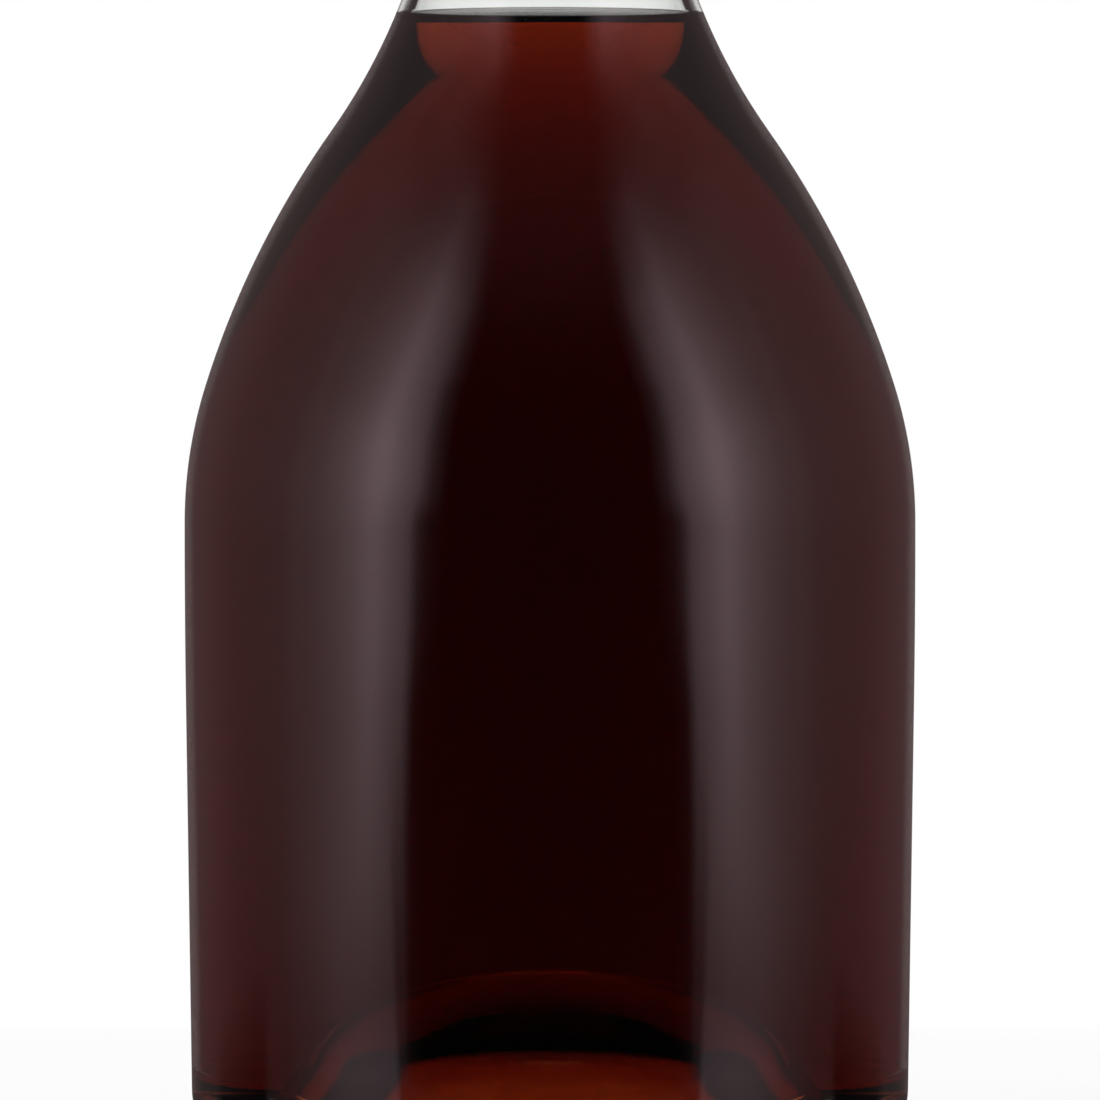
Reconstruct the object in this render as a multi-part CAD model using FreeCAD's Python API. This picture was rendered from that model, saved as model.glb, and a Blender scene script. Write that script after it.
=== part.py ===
import FreeCAD, Part
import math
import os

from FreeCAD import Vector

# Round clear glass bottle of cognac with a push-up base, closed by a cork with a turned head.
# The origin is the centre of the foot, +Z runs up the bottle, sizes are in millimetres.

# glass, outside
bottleHeight = 262.0        # foot to rim of the mouth
bodyRadius = 46.6           # largest radius, at the foot of the shoulder
footInset = 0.95            # how far the heel curve's outer edge stands in from the body
heelRadius = 9.0            # round between body and foot
shoulderBase = 81.2         # height at which the body turns into the shoulder
shoulderRadius = 58.2       # tight lower curve of the shoulder
shoulderTurn = 17.3         # degrees turned by that lower curve
slopeRadius = 116.6         # slack upper curve of the shoulder
neckSweepRadius = 77.3      # hollow curve between shoulder and neck
neckRadius = 13.8           # straight neck
taperBend = 1500.0          # slack curve from the shoulder into the slight taper down to the foot

# finish, the ring round the mouth
finishHeight = 14.0         # from the underside of the ring to the rim
finishStep = 1.5            # how far the ring stands out from the neck
finishFillet = 0.6          # hollow corner under the ring
rimRound = 1.4              # outer edge of the rim
mouthRound = 0.7            # inner edge of the rim

# glass, inside
wall = 2.0                  # wall from the body up to the neck
heelWall = 3.0              # wall just above the heel
floorThickness = 5.5        # glass under the lowest point inside
troughRadius = 6.5          # curve between the inner wall and the floor
crownThickness = 3.6        # glass over the hollow, as thick all over its top and sides
floorFlare = 3.0            # hollow curve between the floor and the side of the push-up
boreRadius = 9.25           # bore that takes the cork
boreDepth = 27.0            # length of that bore from the rim
boreStep = 6.0              # height over which the bore widens into the neck

# underside
puntHeight = 21.1           # hollow under the foot, at the axis
puntCrown = 30.0            # slack curve of its top
puntTurn = 36.0             # degrees turned by that curve
puntCorner = 6.0            # tighter curve between its top and side
puntSlope = 70.0            # slope of its side in degrees
puntFlare = 3.0             # curve from its side out towards the bearing ring
puntLift = 1.2              # lowest point of that curve above the foot
bearingWidth = 3.2          # flat ring that the bottle stands on
bearingRound = 2.2          # inner edge of that ring

# contents and stopper
fillLevel = 143.0           # surface of the cognac above the foot
corkLength = 22.0           # shank inside the bore
corkChamfer = 1.2           # bevel at the end of the shank
corkClearance = 0.05        # between shank and bore
headHeight = 12.5           # head above the rim
headRadius = 14.6           # head
headRound = 2.2             # upper edge of the head
headFoot = 0.8              # lower edge of the head

footRadius = bodyRadius - footInset


def at(radius, height):
    return Vector(radius, 0, height)


def toward(degrees):
    # unit vector in the section plane, 0 degrees pointing away from the axis
    angle = math.radians(degrees)
    return at(math.cos(angle), math.sin(angle))


def lineEdge(start, end):
    return Part.LineSegment(start, end).toShape()


def arcEdge(center, radius, startAngle, endAngle):
    middle = center + toward((startAngle + endAngle) / 2) * radius
    start = center + toward(startAngle) * radius
    end = center + toward(endAngle) * radius
    return Part.Arc(start, middle, end).toShape()


def stepEdges(start, along, across, length, offset):
    # two equal arcs that shift a line sideways and leave it parallel to itself
    radius = (length ** 2 + offset ** 2) / (4 * offset)
    half = math.asin(length / 2 / radius) / 2
    end = start + along * length + across * offset
    crossing = (start + end) * 0.5
    sag = across * (radius * (1 - math.cos(half))) + along * (radius * math.sin(half))
    first = Part.Arc(start, start + sag, crossing).toShape()
    second = Part.Arc(crossing, end - sag, end).toShape()
    return [first, second], end


def tangentTilt(lowCenter, lowRadius, highCenter, highRadius):
    # lean in degrees of the line that touches both circles on the side away from the axis
    across = highCenter.x - lowCenter.x
    rise = highCenter.z - lowCenter.z
    difference = lowRadius - highRadius
    return math.degrees(math.acos(difference / math.hypot(across, rise)) - math.atan2(rise, across))


def shoulderEdges(offset, tilt):
    # shoulder and hollow neck sweep, moved inwards by the offset, up to the straight neck
    lowTurn = math.radians(shoulderTurn)
    drop = bodyRadius - neckRadius
    across = shoulderRadius * (1 - math.cos(lowTurn)) + slopeRadius * math.cos(lowTurn)
    steepest = math.degrees(math.acos((across + neckSweepRadius - drop) / (slopeRadius + neckSweepRadius)))
    lowCenter = at(bodyRadius - shoulderRadius, shoulderBase)
    slopeCenter = lowCenter + toward(shoulderTurn) * (shoulderRadius - slopeRadius)
    sweepCenter = slopeCenter + toward(steepest) * (slopeRadius + neckSweepRadius)
    edges = [
        arcEdge(lowCenter, shoulderRadius - offset, -tilt, shoulderTurn),
        arcEdge(slopeCenter, slopeRadius - offset, shoulderTurn, steepest),
        arcEdge(sweepCenter, neckSweepRadius + offset, 180 + steepest, 180),
    ]
    return edges, at(neckRadius - offset, sweepCenter.z)


def bellEdges(offset, flare, low):
    # crown, corner and sloping side of the push-up, moved out by the offset, and the centre of
    # the flare whose lowest point lies at the given height
    lean = toward(90 - puntSlope)
    crownCenter = at(0, puntHeight - puntCrown)
    cornerCenter = crownCenter + toward(90 - puntTurn) * (puntCrown - puntCorner)
    cornerEnd = cornerCenter + lean * (puntCorner + offset)
    length = (cornerEnd.z + lean.z * flare - low - flare) / math.sin(math.radians(puntSlope))
    sideEnd = cornerEnd + toward(-puntSlope) * length
    edges = [
        arcEdge(crownCenter, puntCrown + offset, 90, 90 - puntTurn),
        arcEdge(cornerCenter, puntCorner + offset, 90 - puntTurn, 90 - puntSlope),
        lineEdge(cornerEnd, sideEnd),
    ]
    return edges, sideEnd + lean * flare


def puntEdges():
    # hollow underside from the axis out to the inner edge of the bearing ring
    edges, flareCenter = bellEdges(0, puntFlare, puntLift)
    roundCenter = at(footRadius - heelRadius - bearingWidth, bearingRound)
    dip = tangentTilt(flareCenter, puntFlare, roundCenter, bearingRound)
    under = toward(-dip)
    edges += [
        arcEdge(flareCenter, puntFlare, 270 - puntSlope, 360 - dip),
        lineEdge(flareCenter + under * puntFlare, roundCenter + under * bearingRound),
        arcEdge(roundCenter, bearingRound, 360 - dip, 270),
    ]
    return edges


def outerEdges():
    # from the bearing ring up the heel, body, shoulder and neck to the rim
    heelCenter = at(footRadius - heelRadius, heelRadius)
    bendCenter = at(bodyRadius - taperBend, shoulderBase)
    tilt = tangentTilt(heelCenter, heelRadius, bendCenter, taperBend)
    outward = toward(-tilt)
    shoulder, neckBase = shoulderEdges(0, 0)
    ringBase = bottleHeight - finishHeight
    ringRadius = neckRadius + finishStep
    ringRound = finishStep - finishFillet
    filletCenter = at(neckRadius + finishFillet, ringBase - finishFillet)
    ringCenter = at(ringRadius - ringRound, ringBase + ringRound)
    rimCenter = at(ringRadius - rimRound, bottleHeight - rimRound)
    mouthCenter = at(boreRadius + mouthRound, bottleHeight - mouthRound)
    edges = [
        lineEdge(at(footRadius - heelRadius - bearingWidth, 0), at(footRadius - heelRadius, 0)),
        arcEdge(heelCenter, heelRadius, -90, -tilt),
        lineEdge(heelCenter + outward * heelRadius, bendCenter + outward * taperBend),
        arcEdge(bendCenter, taperBend, -tilt, 0),
    ]
    edges += shoulder
    edges += [
        lineEdge(neckBase, at(neckRadius, filletCenter.z)),
        arcEdge(filletCenter, finishFillet, 180, 90),
        arcEdge(ringCenter, ringRound, -90, 0),
        lineEdge(at(ringRadius, ringCenter.z), at(ringRadius, rimCenter.z)),
        arcEdge(rimCenter, rimRound, 0, 90),
        lineEdge(at(rimCenter.x, bottleHeight), at(mouthCenter.x, bottleHeight)),
        arcEdge(mouthCenter, mouthRound, 90, 180),
    ]
    return edges


def innerEdges():
    # from the axis over the raised floor, up the inner wall and the bore to the mouth
    edges, flareCenter = bellEdges(crownThickness, floorFlare, floorThickness)
    troughCenter = at(footRadius - heelWall - troughRadius, floorThickness + troughRadius)
    shoulderCenter = at(bodyRadius - shoulderRadius, shoulderBase)
    tilt = tangentTilt(troughCenter, troughRadius, shoulderCenter, shoulderRadius - wall)
    wallBase = troughCenter + toward(-tilt) * troughRadius
    wallTop = shoulderCenter + toward(-tilt) * (shoulderRadius - wall)
    shoulder, neckBase = shoulderEdges(wall, tilt)
    stepBase = at(neckBase.x, bottleHeight - boreDepth - boreStep)
    step, boreBase = stepEdges(stepBase, at(0, 1), at(-1, 0), boreStep, neckBase.x - boreRadius)
    edges += [
        arcEdge(flareCenter, floorFlare, 270 - puntSlope, 270),
        lineEdge(at(flareCenter.x, floorThickness), at(troughCenter.x, floorThickness)),
        arcEdge(troughCenter, troughRadius, 270, 360 - tilt),
        lineEdge(wallBase, wallTop),
    ]
    edges += shoulder
    edges.append(lineEdge(neckBase, stepBase))
    edges += step
    edges.append(lineEdge(boreBase, at(boreRadius, bottleHeight - mouthRound)))
    return edges


def spin(edges):
    # solid of revolution of a closed section
    wire = Part.Wire(Part.sortEdges(edges)[0])
    return Part.Face(wire).revolve(Vector(0, 0, 0), Vector(0, 0, 1), 360)


def makeBottle():
    axis = lineEdge(at(0, puntHeight + crownThickness), at(0, puntHeight))
    return spin(puntEdges() + outerEdges() + innerEdges() + [axis])


def makeCognac():
    # the inside of the bottle, cut off level at the surface
    cavityTop = bottleHeight - mouthRound
    lid = lineEdge(at(boreRadius, cavityTop), at(0, cavityTop))
    axis = lineEdge(at(0, cavityTop), at(0, puntHeight + crownThickness))
    cavity = spin(innerEdges() + [lid, axis])
    below = Part.makeCylinder(bodyRadius, fillLevel)
    return cavity.common(below).Solids[0]


def makeCork():
    radius = boreRadius - corkClearance
    foot = bottleHeight - corkLength
    corners = [
        at(0, foot),
        at(radius - corkChamfer, foot),
        at(radius, foot + corkChamfer),
        at(radius, bottleHeight),
        at(0, bottleHeight),
        at(0, foot),
    ]
    return spin([lineEdge(start, end) for start, end in zip(corners, corners[1:])])


def makeHead():
    top = bottleHeight + headHeight
    footCenter = at(headRadius - headFoot, bottleHeight + headFoot)
    topCenter = at(headRadius - headRound, top - headRound)
    return spin([
        lineEdge(at(0, bottleHeight), at(footCenter.x, bottleHeight)),
        arcEdge(footCenter, headFoot, -90, 0),
        lineEdge(at(headRadius, footCenter.z), at(headRadius, topCenter.z)),
        arcEdge(topCenter, headRound, 0, 90),
        lineEdge(at(topCenter.x, top), at(0, top)),
        lineEdge(at(0, top), at(0, bottleHeight)),
    ])


os.makedirs("parts", exist_ok=True)
nodes = {
    "glass_bottle": makeBottle(),
    "cognac": makeCognac(),
    "cork_shank": makeCork(),
    "stopper_head": makeHead(),
}
for name, shape in nodes.items():
    shape.exportStep("parts/" + name + ".step")
    print(name, shape.ShapeType, shape.isValid(), round(shape.Volume / 1000, 1), "ml")
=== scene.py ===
import math

import bmesh
import bpy
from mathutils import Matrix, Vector


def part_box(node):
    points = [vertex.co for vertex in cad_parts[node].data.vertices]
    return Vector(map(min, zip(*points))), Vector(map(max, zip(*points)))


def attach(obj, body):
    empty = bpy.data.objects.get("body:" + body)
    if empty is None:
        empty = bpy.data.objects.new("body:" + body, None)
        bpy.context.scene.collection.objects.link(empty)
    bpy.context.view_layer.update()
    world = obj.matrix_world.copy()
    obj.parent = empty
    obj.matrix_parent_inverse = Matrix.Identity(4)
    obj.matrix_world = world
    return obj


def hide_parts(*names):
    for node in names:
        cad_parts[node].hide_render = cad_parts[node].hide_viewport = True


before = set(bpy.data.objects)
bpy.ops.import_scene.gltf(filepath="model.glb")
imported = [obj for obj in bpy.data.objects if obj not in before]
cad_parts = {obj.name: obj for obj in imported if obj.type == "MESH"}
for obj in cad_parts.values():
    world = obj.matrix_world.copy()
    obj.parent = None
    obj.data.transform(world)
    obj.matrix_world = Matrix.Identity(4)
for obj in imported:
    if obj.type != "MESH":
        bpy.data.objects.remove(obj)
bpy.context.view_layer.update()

mm = 0.001
tiny = 1e-7                        # points nearer than this count as one


class Value:
    # a node's output that can be used in sums and products
    def __init__(self, shader, socket):
        self.shader = shader
        self.socket = socket

    def combine(self, operation, *terms):
        return self.shader.node("ShaderNodeMath", {"operation": operation}, dict(enumerate(terms)))

    def __add__(self, other):
        return self.combine("ADD", self, other)

    def __radd__(self, other):
        return self.combine("ADD", other, self)

    def __sub__(self, other):
        return self.combine("SUBTRACT", self, other)

    def __rsub__(self, other):
        return self.combine("SUBTRACT", other, self)

    def __mul__(self, other):
        return self.combine("MULTIPLY", self, other)

    def __rmul__(self, other):
        return self.combine("MULTIPLY", other, self)

    def __gt__(self, other):
        return self.combine("GREATER_THAN", self, other)

    def __lt__(self, other):
        return self.combine("LESS_THAN", self, other)

    def __abs__(self):
        return self.combine("ABSOLUTE", self)


class Shader:
    # one material's or world's node tree
    def __init__(self, owner, outlet="ShaderNodeOutputMaterial"):
        owner.use_nodes = True
        self.outlet = outlet
        self.tree = owner.node_tree
        self.tree.nodes.clear()

    def node(self, kind, settings=None, values=None, output=0):
        item = self.tree.nodes.new(kind)
        for name, setting in (settings or {}).items():
            if name == "stops":
                setStops(item.color_ramp, setting)
            else:
                setattr(item, name, setting)
        for name, value in (values or {}).items():
            if isinstance(value, Value):
                self.tree.links.new(value.socket, item.inputs[name])
            else:
                item.inputs[name].default_value = value
        return Value(self, item.outputs[output]) if item.outputs else item

    def pick(self, value, output):
        return Value(self, value.socket.node.outputs[output])

    def surface(self, value, volume=None):
        links = {"Surface": value}
        if volume:
            links["Volume"] = volume
        self.node(self.outlet, None, links)


def setStops(ramp, stops):
    # each stop is a place from 0 to 1 with a grey or a colour
    while len(ramp.elements) < len(stops):
        ramp.elements.new(1.0)
    for element, (place, shade) in zip(ramp.elements, stops):
        element.position = place
        element.color = (*shade, 1.0) if isinstance(shade, tuple) else (shade, shade, shade, 1.0)


def newMaterial(name):
    material = bpy.data.materials.new(name)
    return material, Shader(material)


def toward(degrees):
    angle = math.radians(degrees)
    return Vector((math.cos(angle), math.sin(angle)))


def arc(center, radius, start, end, step):
    # points of a round stretch, at most a step of degrees apart, with the direction that faces out at each
    count = max(2, math.ceil(abs(end - start) / step))
    points = []
    for index in range(count + 1):
        way = toward(start + (end - start) * index / count)
        points.append((Vector(center) + way * radius, way))
    return points


def hollow(points):
    # the same stretch seen from the other side, for curves that bend away from the solid
    return [(point, -way) for point, way in points]


def straight(start, end, way, step):
    start = Vector(start)
    end = Vector(end)
    count = max(1, math.ceil((end - start).length / step))
    return [(start.lerp(end, index / count), Vector(way)) for index in range(count + 1)]


def sCurve(start, along, across, length, offset, steps):
    # two equal arcs that shift a line sideways and leave it parallel to itself
    radius = (length ** 2 + offset ** 2) / (4 * offset)
    bend = math.asin(length / 2 / radius)
    end = start + across * offset + along * length
    points = []
    for index in range(2 * steps + 1):
        angle = bend * min(index, 2 * steps - index) / steps
        shift = across * (radius * (1 - math.cos(angle))) + along * (radius * math.sin(angle))
        place = start + shift if index <= steps else end - shift
        points.append((place, across * math.cos(angle) - along * math.sin(angle)))
    return points


def joined(stretches):
    # stretches end to end, without doubled points
    points = []
    for stretch in stretches:
        for point, way in stretch:
            if points and (points[-1][0] - point).length < tiny:
                continue
            points.append((point, way))
    return points


def turned(name, points, segments):
    # closed skin of revolution with the exact normals that the profile gives
    mesh = bpy.data.meshes.new(name)
    verts = []
    normals = []
    rows = []
    for point, way in points:
        if point.x < tiny:
            rows.append([len(verts)])
            verts.append((0, 0, point.y))
            normals.append((0, 0, 1 if way.y > 0 else -1))
            continue
        row = []
        for index in range(segments):
            angle = 2 * math.pi * index / segments
            row.append(len(verts))
            verts.append((point.x * math.cos(angle), point.x * math.sin(angle), point.y))
            normals.append((way.x * math.cos(angle), way.x * math.sin(angle), way.y))
        rows.append(row)
    faces = []
    for low, high in zip(rows, rows[1:]):
        for index in range(segments):
            after = (index + 1) % segments
            if len(low) == 1:
                faces.append((low[0], high[after], high[index]))
            elif len(high) == 1:
                faces.append((low[index], low[after], high[0]))
            else:
                faces.append((low[index], low[after], high[after], high[index]))
    mesh.from_pydata(verts, [], faces)
    mesh.validate()
    for face in mesh.polygons:
        face.use_smooth = True
    mesh.normals_split_custom_set_from_vertices(normals)
    piece = bpy.data.objects.new(name, mesh)
    bpy.context.collection.objects.link(piece)
    return piece


# the bottle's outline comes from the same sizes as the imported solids
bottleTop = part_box("glass_bottle")[1][2]
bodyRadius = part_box("glass_bottle")[1][0]
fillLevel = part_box("cognac")[1][2]
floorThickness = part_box("cognac")[0][2]

glass = {
    "footInset": 0.95 * mm,        # how far the heel's outer edge stands in from the body
    "heelRadius": 9.0 * mm,
    "shoulderBase": 81.2 * mm,     # height at which the body turns into the shoulder
    "shoulderRadius": 58.2 * mm,   # tight lower curve of the shoulder
    "shoulderTurn": 17.3,          # degrees turned by that curve
    "slopeRadius": 116.6 * mm,     # slack upper curve of the shoulder
    "neckSweepRadius": 77.3 * mm,  # hollow curve between shoulder and neck
    "neckRadius": 13.8 * mm,
    "taperBend": 1500.0 * mm,      # slack curve from the shoulder into the slight taper below
    "finishHeight": 14.0 * mm,     # ring round the mouth
    "finishStep": 1.5 * mm,        # how far that ring stands out
    "finishFillet": 0.6 * mm,
    "rimRound": 1.4 * mm,
    "mouthRound": 0.7 * mm,
    "wall": 2.0 * mm,
    "heelWall": 3.0 * mm,
    "troughRadius": 6.5 * mm,      # curve between the inner wall and the floor
    "crownThickness": 3.6 * mm,    # glass over the push-up
    "floorFlare": 3.0 * mm,
    "boreRadius": 9.25 * mm,
    "boreDepth": 27.0 * mm,
    "boreStep": 6.0 * mm,          # height over which the bore widens into the neck
    "boreStepRows": 4,             # rows of faces in each half of that step
    "puntHeight": 21.1 * mm,       # push-up under the foot, at the axis
    "puntCrown": 30.0 * mm,        # slack curve of its top
    "puntTurn": 36.0,              # degrees turned by that curve
    "puntCorner": 6.0 * mm,
    "puntSlope": 70.0,             # slope of its side in degrees
    "puntFlare": 3.0 * mm,
    "puntLift": 1.2 * mm,          # lowest point of its flare above the foot
    "bearingWidth": 3.2 * mm,      # flat ring that the bottle stands on
    "bearingRound": 2.2 * mm,
    "segments": 224,               # faces round the bottle
    "rowHeight": 3.0 * mm,         # longest face on a straight stretch
    "ior": 1.5,
    "tint": (0.965, 0.98, 0.972),
    "waveHeight": 0.04 * mm,       # unevenness of the surface
    "waveScale": (38, 38, 14),
}

footRadius = bodyRadius - glass["footInset"]


def tangentTilt(lowCenter, lowRadius, highCenter, highRadius):
    span = Vector(highCenter) - Vector(lowCenter)
    return math.degrees(math.acos((lowRadius - highRadius) / span.length) - math.atan2(span.y, span.x))


def shoulderLine(offset, tilt):
    g = glass
    lowTurn = math.radians(g["shoulderTurn"])
    drop = bodyRadius - g["neckRadius"]
    across = g["shoulderRadius"] * (1 - math.cos(lowTurn)) + g["slopeRadius"] * math.cos(lowTurn)
    reach = g["slopeRadius"] + g["neckSweepRadius"]
    steepest = math.degrees(math.acos((across + g["neckSweepRadius"] - drop) / reach))
    lowCenter = Vector((bodyRadius - g["shoulderRadius"], g["shoulderBase"]))
    slopeCenter = lowCenter + toward(g["shoulderTurn"]) * (g["shoulderRadius"] - g["slopeRadius"])
    sweepCenter = slopeCenter + toward(steepest) * reach
    stretches = [
        arc(lowCenter, g["shoulderRadius"] - offset, -tilt, g["shoulderTurn"], 1.2),
        arc(slopeCenter, g["slopeRadius"] - offset, g["shoulderTurn"], steepest, 1.0),
        hollow(arc(sweepCenter, g["neckSweepRadius"] + offset, 180 + steepest, 180, 1.4)),
    ]
    return stretches, Vector((g["neckRadius"] - offset, sweepCenter.y))


def bell(offset, flare, low):
    # half of the push-up's section: crown, corner, sloping side and flare down to the low point
    g = glass
    slope = g["puntSlope"]
    crown = g["puntCrown"] + offset
    corner = g["puntCorner"] + offset
    lean = toward(90 - slope)
    crownCenter = Vector((0, g["puntHeight"] - g["puntCrown"]))
    cornerCenter = crownCenter + toward(90 - g["puntTurn"]) * (g["puntCrown"] - g["puntCorner"])
    cornerEnd = cornerCenter + lean * corner
    length = (cornerEnd.y + lean.y * flare - low - flare) / math.sin(math.radians(slope))
    flankEnd = cornerEnd + toward(-slope) * length
    stretches = [
        arc(crownCenter, crown, 90, 90 - g["puntTurn"], 2),
        arc(cornerCenter, corner, 90 - g["puntTurn"], 90 - slope, 3),
        straight(cornerEnd, flankEnd, lean, g["rowHeight"]),
    ]
    return stretches, flankEnd + lean * flare


def outerLine():
    g = glass
    slope = g["puntSlope"]
    punt, flareCenter = bell(0, g["puntFlare"], g["puntLift"])
    roundCenter = Vector((footRadius - g["heelRadius"] - g["bearingWidth"], g["bearingRound"]))
    dip = tangentTilt(flareCenter, g["puntFlare"], roundCenter, g["bearingRound"])
    under = toward(-dip)
    heelCenter = Vector((footRadius - g["heelRadius"], g["heelRadius"]))
    bendCenter = Vector((bodyRadius - g["taperBend"], g["shoulderBase"]))
    tilt = tangentTilt(heelCenter, g["heelRadius"], bendCenter, g["taperBend"])
    outward = toward(-tilt)
    shoulder, neckBase = shoulderLine(0, 0)
    ringBase = bottleTop - g["finishHeight"]
    ringRadius = g["neckRadius"] + g["finishStep"]
    ringRound = g["finishStep"] - g["finishFillet"]
    filletCenter = Vector((g["neckRadius"] + g["finishFillet"], ringBase - g["finishFillet"]))
    ringCenter = Vector((ringRadius - ringRound, ringBase + ringRound))
    rimCenter = Vector((ringRadius - g["rimRound"], bottleTop - g["rimRound"]))
    mouthCenter = Vector((g["boreRadius"] + g["mouthRound"], bottleTop - g["mouthRound"]))
    row = g["rowHeight"]
    return [
        *[hollow(stretch) for stretch in punt],
        arc(flareCenter, g["puntFlare"], 270 - slope, 360 - dip, 8),
        straight(flareCenter + under * g["puntFlare"], roundCenter + under * g["bearingRound"], under, row),
        arc(roundCenter, g["bearingRound"], 360 - dip, 270, 4),
        straight((roundCenter.x, 0), (heelCenter.x, 0), (0, -1), row),
        arc(heelCenter, g["heelRadius"], -90, -tilt, 4),
        straight(heelCenter + outward * g["heelRadius"], bendCenter + outward * g["taperBend"], outward, row),
        arc(bendCenter, g["taperBend"], -tilt, 0, 0.1),
        *shoulder,
        straight(neckBase, (neckBase.x, filletCenter.y), (1, 0), row),
        hollow(arc(filletCenter, g["finishFillet"], 180, 90, 18)),
        arc(ringCenter, ringRound, -90, 0, 15),
        straight((ringRadius, ringCenter.y), (ringRadius, rimCenter.y), (1, 0), row),
        arc(rimCenter, g["rimRound"], 0, 90, 12),
        straight((rimCenter.x, bottleTop), (mouthCenter.x, bottleTop), (0, 1), row),
        arc(mouthCenter, g["mouthRound"], 90, 180, 18),
    ]


def innerLine(reach):
    # the inside from the axis up to the mouth, moved into the wall by the reach
    g = glass
    troughPlace = footRadius - g["heelWall"] - g["troughRadius"]
    troughCenter = Vector((troughPlace, floorThickness + g["troughRadius"]))
    slope = g["puntSlope"]
    low = floorThickness - reach
    floor, flareCenter = bell(g["crownThickness"] - reach, g["floorFlare"] + reach, low)
    shoulderCenter = Vector((bodyRadius - g["shoulderRadius"], g["shoulderBase"]))
    wall = g["wall"] - reach
    tilt = tangentTilt(troughCenter, g["troughRadius"], shoulderCenter, g["shoulderRadius"] - g["wall"])
    outward = toward(-tilt)
    wallBase = troughCenter + outward * (g["troughRadius"] + reach)
    wallTop = shoulderCenter + outward * (g["shoulderRadius"] - wall)
    shoulder, neckBase = shoulderLine(wall, tilt)
    stepBase = Vector((neckBase.x, bottleTop - g["boreDepth"] - g["boreStep"]))
    stepIn = neckBase.x - g["boreRadius"]
    boreFoot = Vector((g["boreRadius"], bottleTop - g["boreDepth"]))
    row = g["rowHeight"]
    return [
        *floor,
        hollow(arc(flareCenter, g["floorFlare"] + reach, 270 - slope, 270, 6)),
        straight((flareCenter.x, low), (troughCenter.x, low), (0, 1), row),
        hollow(arc(troughCenter, g["troughRadius"] + reach, 270, 360 - tilt, 5)),
        straight(wallBase, wallTop, -outward, row),
        *[hollow(stretch) for stretch in shoulder],
        straight(neckBase, stepBase, (-1, 0), row),
        sCurve(stepBase, Vector((0, 1)), Vector((-1, 0)), g["boreStep"], stepIn, g["boreStepRows"]),
        straight(boreFoot, (g["boreRadius"], bottleTop - g["mouthRound"]), (-1, 0), row),
    ]


def clearGlass():
    g = glass
    material, shader = newMaterial("clearGlass")
    place = shader.node("ShaderNodeTexCoord", None, None, "Object")
    stretched = shader.node("ShaderNodeMapping", None, {"Vector": place, "Scale": g["waveScale"]})
    waves = shader.node("ShaderNodeTexNoise", None, {"Vector": stretched, "Scale": 1.0, "Detail": 1.0})
    uneven = shader.node("ShaderNodeBump", None, {
        "Strength": 1.0, "Distance": g["waveHeight"], "Height": waves})
    skin = shader.node("ShaderNodeBsdfPrincipled", None, {
        "Base Color": (*g["tint"], 1), "Roughness": 0.0, "IOR": g["ior"],
        "Transmission Weight": 1.0, "Normal": uneven})
    shader.surface(skin)
    return material


def makeGlass():
    inside = [stretch[::-1] for stretch in reversed(innerLine(0))]
    piece = turned("bottleGlass", joined(outerLine() + inside), glass["segments"])
    piece.data.materials.append(clearGlass())
    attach(piece, "root")
    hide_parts("glass_bottle")


makeGlass()
print("glass done")


cognac = {
    "reach": 0.15 * mm,            # how far the liquid runs into the wall
    "meniscusLength": 1.6 * mm,    # how far the pull of the glass on the surface carries
    "meniscusSlope": 112.0,        # steepest slope of the surface in degrees, at the glass
    "meniscusSteps": 26,
    "meniscusSpread": 1.3,         # above 1 the steps run further in, where the surface is flatter
    "ior": 1.35,
    "density": 180.0,              # light taken up per metre, for the colour below
    "colour": (0.705, 0.32, 0.01),
    "segments": 224,
}


def cognacLiquid():
    c = cognac
    material, shader = newMaterial("cognacLiquid")
    skin = shader.node("ShaderNodeBsdfPrincipled", None, {
        "Base Color": (1, 1, 1, 1), "Roughness": 0.0, "IOR": c["ior"], "Transmission Weight": 1.0})
    depth = shader.node("ShaderNodeVolumeAbsorption", None, {
        "Color": (*c["colour"], 1), "Density": c["density"]})
    shader.surface(skin, depth)
    return material


def meniscus(contactRadius):
    # the surface from the glass inwards, in the curve that a still liquid takes
    c = cognac
    length = c["meniscusLength"]
    steepest = math.radians(c["meniscusSlope"])

    def inset(slope):
        return -length * (math.log(math.tan(slope / 4)) + 2 * math.cos(slope / 2))

    points = []
    for index in range(c["meniscusSteps"] + 1):
        share = 1 - index / (c["meniscusSteps"] + 1)
        slope = steepest * share ** c["meniscusSpread"]
        radius = contactRadius - (inset(slope) - inset(steepest))
        height = fillLevel + 2 * length * math.sin(slope / 2)
        points.append((Vector((radius, height)), Vector((-math.sin(slope), math.cos(slope)))))
    return points


def makeCognac():
    c = cognac
    contact = fillLevel + 2 * c["meniscusLength"] * math.sin(math.radians(c["meniscusSlope"]) / 2)
    inside = joined(innerLine(c["reach"]))
    # the liquid lies on the free side of the glass, so its outward direction is the other one
    points = [(point, -way) for point, way in inside if point.y <= contact]
    below, way = points[-1]
    above = inside[len(points)][0]
    edge = below.lerp(above, (contact - below.y) / (above.y - below.y))
    points.append((edge, way))
    points += meniscus(edge.x)
    points.append((Vector((0, fillLevel)), Vector((0, 1))))
    piece = turned("cognacFill", points, c["segments"])
    piece.data.materials.append(cognacLiquid())
    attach(piece, "root")
    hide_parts("cognac")


makeCognac()
print("cognac done")


cork = {
    "mottleScale": 260.0,
    "mottleDetail": 5.0,
    "mottle": [(0.3, (0.36, 0.21, 0.10)), (0.5, (0.56, 0.36, 0.20)), (0.72, (0.70, 0.50, 0.31))],
    "poreScale": 520.0,
    "poreEdge": [(0.0, 0.0), (0.22, 1.0)],
    "poreColour": (0.16, 0.08, 0.04),
    "poreDepth": 0.2 * mm,
    "poreStrength": 0.6,
    "roughness": 0.8,
}


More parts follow.
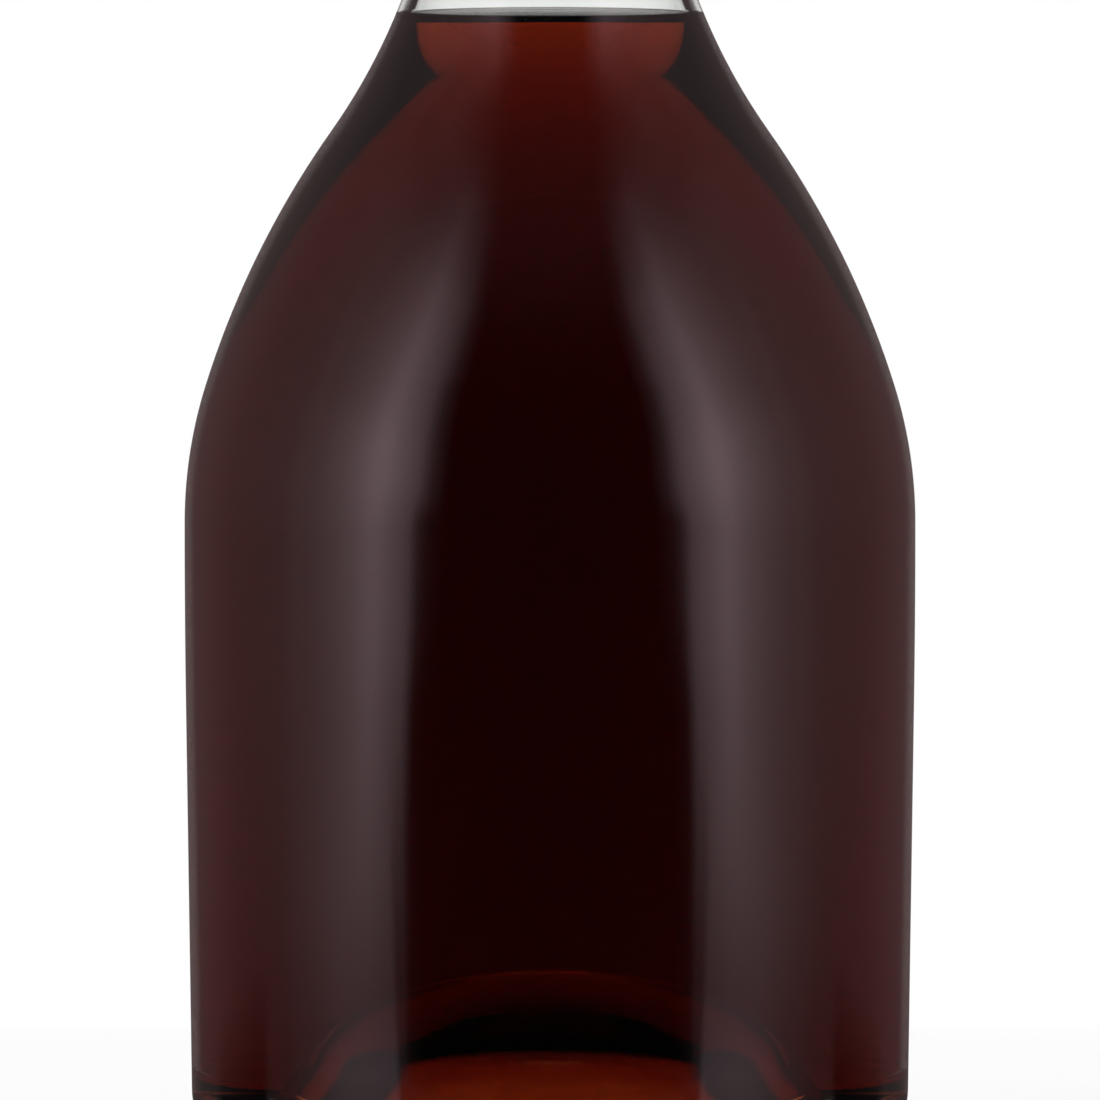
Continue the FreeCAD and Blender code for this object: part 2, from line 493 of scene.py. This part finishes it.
def corkBark():
    c = cork
    material, shader = newMaterial("corkBark")
    place = shader.node("ShaderNodeTexCoord", None, None, "Object")
    mottle = shader.node("ShaderNodeTexNoise", None, {
        "Vector": place, "Scale": c["mottleScale"], "Detail": c["mottleDetail"]})
    pores = shader.node("ShaderNodeTexVoronoi", None, {"Vector": place, "Scale": c["poreScale"]})
    pits = shader.node("ShaderNodeValToRGB", {"stops": c["poreEdge"]}, {"Fac": pores})
    bark = shader.node("ShaderNodeValToRGB", {"stops": c["mottle"]}, {"Fac": mottle})
    hue = shader.node("ShaderNodeMix", {"data_type": "RGBA"}, {0: pits, 6: (*c["poreColour"], 1), 7: bark}, 2)
    relief = shader.node("ShaderNodeBump", None, {
        "Strength": c["poreStrength"], "Distance": c["poreDepth"], "Height": pits})
    shader.surface(shader.node("ShaderNodeBsdfPrincipled", None, {
        "Base Color": hue, "Roughness": c["roughness"], "Normal": relief}))
    return material


head = {
    "grainScale": (60, 620, 620),
    "grainDetail": 6.0,
    "grainWander": 0.4,
    "stain": [(0.3, (0.022, 0.010, 0.006)), (0.5, (0.060, 0.028, 0.015)), (0.7, (0.115, 0.056, 0.030))],
    "grainDepth": 0.15 * mm,
    "grainStrength": 0.35,
    "roughness": 0.42,
    "grainShine": 0.1,             # how much smoother the pale grain is
}


def darkWood():
    h = head
    material, shader = newMaterial("darkWood")
    place = shader.node("ShaderNodeTexCoord", None, None, "Object")
    along = shader.node("ShaderNodeMapping", None, {"Vector": place, "Scale": h["grainScale"]})
    grain = shader.node("ShaderNodeTexNoise", None, {
        "Vector": along, "Scale": 1.0, "Detail": h["grainDetail"], "Distortion": h["grainWander"]})
    hue = shader.node("ShaderNodeValToRGB", {"stops": h["stain"]}, {"Fac": grain})
    relief = shader.node("ShaderNodeBump", None, {
        "Strength": h["grainStrength"], "Distance": h["grainDepth"], "Height": grain})
    shader.surface(shader.node("ShaderNodeBsdfPrincipled", None, {
        "Base Color": hue, "Roughness": h["roughness"] - grain * h["grainShine"], "Normal": relief}))
    return material


def dressNode(name, material):
    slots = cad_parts[name].data.materials
    slots.clear()
    slots.append(material)


dressNode("cork_shank", corkBark())
dressNode("stopper_head", darkWood())
print("cork and head done")


studio = {
    "floorRadius": 0.5,
    "floorSides": 96,
    "floorFade": (0.22, 0.46),     # where the floor starts to thin out, and where it is gone
    "floorColour": 0.45,
    "floorGlow": 0.6,
    "fill": 0.75,                  # plain light on matt surfaces
    "boxPeak": 1.56,               # side boxes as the glass mirrors them
    "washPeak": 0.36,              # dimmer light round the sides and back
    "gapDepth": 0.85,              # how much of that is missing low down at each side
    "ceiling": 0.045,
    "room": 0.01,
    "within": 0.1,                 # share of all this mirrored from inside the glass
    "boxTint": (1.32, 1.0, 1.1),
    "washTint": (1.4, 0.98, 0.98),
    "keyPlace": (-0.7, -0.9, 1.0),
    "keyAim": (0, 0, 0.12),
    "keySize": 0.7,
    "keyPower": 4.0,
}


def pathKinds(shader):
    # rays that the backdrop is seen by: straight from the camera, or through glass without a mirroring
    path = shader.node("ShaderNodeLightPath")
    unmirrored = shader.pick(path, "Glossy Depth") < 0.5
    through = shader.pick(path, "Is Transmission Ray")
    return path, shader.pick(path, "Is Camera Ray") + through * unmirrored, through


def makeFloor():
    s = studio
    mesh = bpy.data.meshes.new("floorDisc")
    sheet = bmesh.new()
    bmesh.ops.create_circle(sheet, cap_ends=True, radius=s["floorRadius"], segments=s["floorSides"])
    sheet.to_mesh(mesh)
    sheet.free()
    floor = bpy.data.objects.new("floorDisc", mesh)
    bpy.context.collection.objects.link(floor)
    material, shader = newMaterial("floorWhite")
    grey = s["floorColour"]
    matt = shader.node("ShaderNodeBsdfDiffuse", None, {"Color": (grey, grey, grey, 1)})
    path, seen, _ = pathKinds(shader)
    glow = shader.node("ShaderNodeEmission", None, {"Color": (1, 1, 1, 1), "Strength": seen * s["floorGlow"]})
    white = shader.node("ShaderNodeAddShader", None, {0: matt, 1: glow})
    # light mirrored by the bottle goes past the floor, which carries the shadow and fades out at its rim
    mirrored = shader.pick(path, "Glossy Depth") > 0.5
    place = shader.node("ShaderNodeTexCoord", None, None, "Object")
    away = shader.node("ShaderNodeVectorMath", {"operation": "LENGTH"}, {0: place}, 1)
    full, gone = s["floorFade"]
    faded = shader.node("ShaderNodeValToRGB", {"stops": [(full, 0.0), (gone, 1.0)]}, {"Fac": away})
    clear = shader.node("ShaderNodeBsdfTransparent")
    shader.surface(shader.node("ShaderNodeMixShader", None, {0: mirrored + faded, 1: white, 2: clear}))
    mesh.materials.append(material)


def degreeStops(low, high, stops):
    return [((degree - low) / (high - low), shade) for degree, shade in stops]


def makeWorld():
    s = studio
    world = bpy.data.worlds.new("studio")
    bpy.context.scene.world = world
    shader = Shader(world, "ShaderNodeOutputWorld")
    way = shader.node("ShaderNodeTexCoord", None, None, "Generated")
    parts = shader.node("ShaderNodeSeparateXYZ", None, {"Vector": way})
    side = abs(shader.pick(parts, "X"))
    front = 0 - shader.pick(parts, "Y")
    around = shader.node("ShaderNodeMath", {"operation": "ARCTAN2"}, {0: side, 1: front}) * (1 / math.pi)
    elevation = shader.node("ShaderNodeMath", {"operation": "ARCSINE"}, {0: shader.pick(parts, "Z")})
    elevation = elevation * (1 / math.pi) + 0.5

    def up(stops):
        # set by the height above level in degrees
        return shader.node("ShaderNodeValToRGB", {"stops": degreeStops(-90, 90, stops)}, {"Fac": elevation})

    def across(angle, stops):
        # set by the angle round from the camera's side in degrees
        return shader.node("ShaderNodeValToRGB", {"stops": degreeStops(0, 180, stops)}, {"Fac": angle})

    # two tall boxes left and right of the camera, their near edge leaning with the height;
    # a ramp only holds 0 to 1, so the lean goes through it as a share of its whole range
    most = 10
    leans = [
        (-4.1, 1.5), (-3.6, 3), (-3.1, 4.5), (-2.4, 3.8), (-1, 2), (0.6, 1.3), (3, 1), (8, 0.3),
        (12, 0), (20, 0), (32, -1), (38, -3.5), (44, -5.5)]
    lean = up([(height, (degrees + most) / (2 * most)) for height, degrees in leans])
    leaned = around - (lean * (2 * most) - most) * (1 / 180)
    boxHigh = across(leaned, [
        (32, 0.0), (37, 0.1), (43, 0.52), (49, 0.78), (54, 1.0), (57, 0.98), (62, 0.68), (70, 0.37),
        (80, 0.125), (92, 0.0)])
    boxLow = across(leaned, [
        (46, 0.0), (48, 0.75), (54, 0.82), (60, 0.9), (68, 0.78), (78, 0.3), (90, 0.0)])
    # the near edge is sharper low down
    edge = across(leaned, [(40, 0.0), (43.5, 1.0)])
    crisp = up([(-2.4, 1.0), (-1, 0.7), (3, 0.2), (6, 0.0)])
    boxHigh = boxHigh * (1 - crisp * (1 - edge))
    lowDown = up([(-3.7, 1.0), (-3.1, 0.6), (-2, 0.0)])
    boxAcross = boxHigh + (boxLow - boxHigh) * lowDown
    boxUp = up([
        (-40, 0.15), (-20, 0.4), (-8, 0.6), (-4.6, 0.58), (-4.1, 0.38), (-3.8, 0.25), (-3.5, 0.22),
        (-3, 0.38), (-2, 0.61), (-1, 0.74), (1, 0.84), (3, 0.86), (6, 0.94), (10, 1.0), (17, 1.0),
        (20, 0.95), (26, 0.83), (32, 0.75), (38, 0.64), (44, 0.48), (48, 0.32), (52, 0.2), (56, 0.12),
        (60, 0.04), (66, 0.0)])
    # a wash round the sides and back, with a dark stretch low down
    washAcross = across(around, [
        (40, 0.0), (61, 0.63), (85, 1.0), (96, 0.86), (110, 0.62), (120, 0.52), (135, 0.42),
        (150, 0.3), (165, 0.3)])
    washUp = up([
        (-40, 0.25), (-20, 0.5), (-8, 0.65), (-4.6, 0.6), (-3.9, 0.34), (-3.5, 0.37), (-3, 0.58),
        (-2, 0.78), (-1, 0.87), (1, 0.93), (10, 0.98), (20, 0.97), (32, 0.92), (38, 0.87), (44, 0.76),
        (48, 0.6), (52, 0.42), (60, 0.4), (64, 0.25), (90, 0.05)])
    gap = across(around, [(101, 0.0), (105, 1.0), (130, 1.0), (136, 0.0)])
    gap = gap * up([(-20, 0.0), (-9, 1.0), (-3.4, 1.0), (-3.1, 0.0)])
    washUp = washUp * (1 - gap * s["gapDepth"])
    ceiling = up([(38, 0.0), (46, 0.5), (54, 1.0), (90, 1.0)])

    def tinted(colour, level):
        return shader.node("ShaderNodeVectorMath", {"operation": "SCALE"}, {0: colour, "Scale": level})

    def total(first, second):
        return shader.node("ShaderNodeVectorMath", {"operation": "ADD"}, {0: first, 1: second})

    path, seen, through = pathKinds(shader)
    share = 1 - through * (1 - s["within"])
    mirrored = total(
        tinted(s["boxTint"], boxAcross * boxUp * share * s["boxPeak"]),
        tinted(s["washTint"], washAcross * washUp * share * s["washPeak"]))
    mirrored = total(mirrored, tinted((1, 1, 1), (ceiling * s["ceiling"] + s["room"]) * share))
    # the white sheet behind, as far as it is mirrored inside the bottle
    behind = across(around, [(158, 0.0), (168, 1.0)])
    mirrored = total(mirrored, tinted((1, 1, 1), through * behind))
    matt = shader.pick(path, "Is Diffuse Ray")
    fill = (s["fill"], s["fill"], s["fill"], 1)
    lit = shader.node("ShaderNodeMix", {"data_type": "RGBA"}, {0: matt, 6: mirrored, 7: fill}, 2)
    colour = shader.node("ShaderNodeMix", {"data_type": "RGBA"}, {0: seen, 6: lit, 7: (1, 1, 1, 1)}, 2)
    shader.surface(shader.node("ShaderNodeBackground", None, {"Color": colour, "Strength": 1.0}))


def makeKeyLamp():
    s = studio
    lamp = bpy.data.lights.new("keyLamp", "AREA")
    lamp.shape = "RECTANGLE"
    lamp.size = s["keySize"]
    lamp.size_y = s["keySize"]
    lamp.energy = s["keyPower"]
    holder = bpy.data.objects.new("keyLamp", lamp)
    holder.location = s["keyPlace"]
    holder.rotation_euler = (Vector(s["keyAim"]) - holder.location).to_track_quat("-Z", "Y").to_euler()
    # the glass doesn't show it
    holder.visible_camera = False
    holder.visible_glossy = False
    holder.visible_transmission = False
    bpy.context.collection.objects.link(holder)


view = {
    "distance": 1.33,
    "eye": 66.1 * mm,              # height of the camera
    "aim": 77.6 * mm,              # height at the middle of the view
    "span": 140.36 * mm,           # width of the view at the bottle's axis
    "sensor": 36.0,
}


def makeCamera():
    v = view
    camera = bpy.data.cameras.new("camera")
    camera.sensor_width = v["sensor"]
    camera.lens = v["sensor"] * v["distance"] / v["span"]
    holder = bpy.data.objects.new("camera", camera)
    holder.location = (0, -v["distance"], v["eye"])
    holder.rotation_euler = (Vector((0, 0, v["aim"])) - holder.location).to_track_quat("-Z", "Y").to_euler()
    bpy.context.collection.objects.link(holder)
    bpy.context.scene.camera = holder


makeFloor()
makeWorld()
makeKeyLamp()
makeCamera()
bpy.context.scene.view_settings.view_transform = "Standard"
print("stage done")
